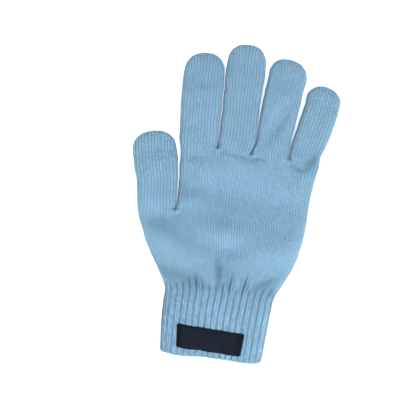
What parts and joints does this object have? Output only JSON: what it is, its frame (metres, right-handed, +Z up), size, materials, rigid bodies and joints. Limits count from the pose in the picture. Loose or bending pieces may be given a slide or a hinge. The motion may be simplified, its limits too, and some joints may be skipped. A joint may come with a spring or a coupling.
{
  "type": "knitted riding glove",
  "caption": "Knitted glove for the right hand, lying flat back up, with a ribbed cuff, a bare woven label and grip dots on its palm side.",
  "frame": {"origin": "under the middle of the glove's bounding box, on the surface that it lies on", "axes": "+Y from the cuff to the fingertips, +X from the thumb's side to the little finger's side, +Z up from the palm side to the back of the hand"},
  "size_m": [0.1454, 0.229, 0.0123],
  "materials": {
    "knit": "matt light blue plain knit",
    "rib_knit": "matt light blue 2x2 rib",
    "label": "dark woven satin, bare",
    "grip_dots": "glossy black printed dots"
  },
  "bodies": {
    "root": {"cuff": "rib_knit", "palm": "knit", "thumb": "knit", "index_finger": "knit", "middle_finger": "knit", "ring_finger": "knit", "little_finger": "knit", "label": "label"}
  },
  "joints": []
}
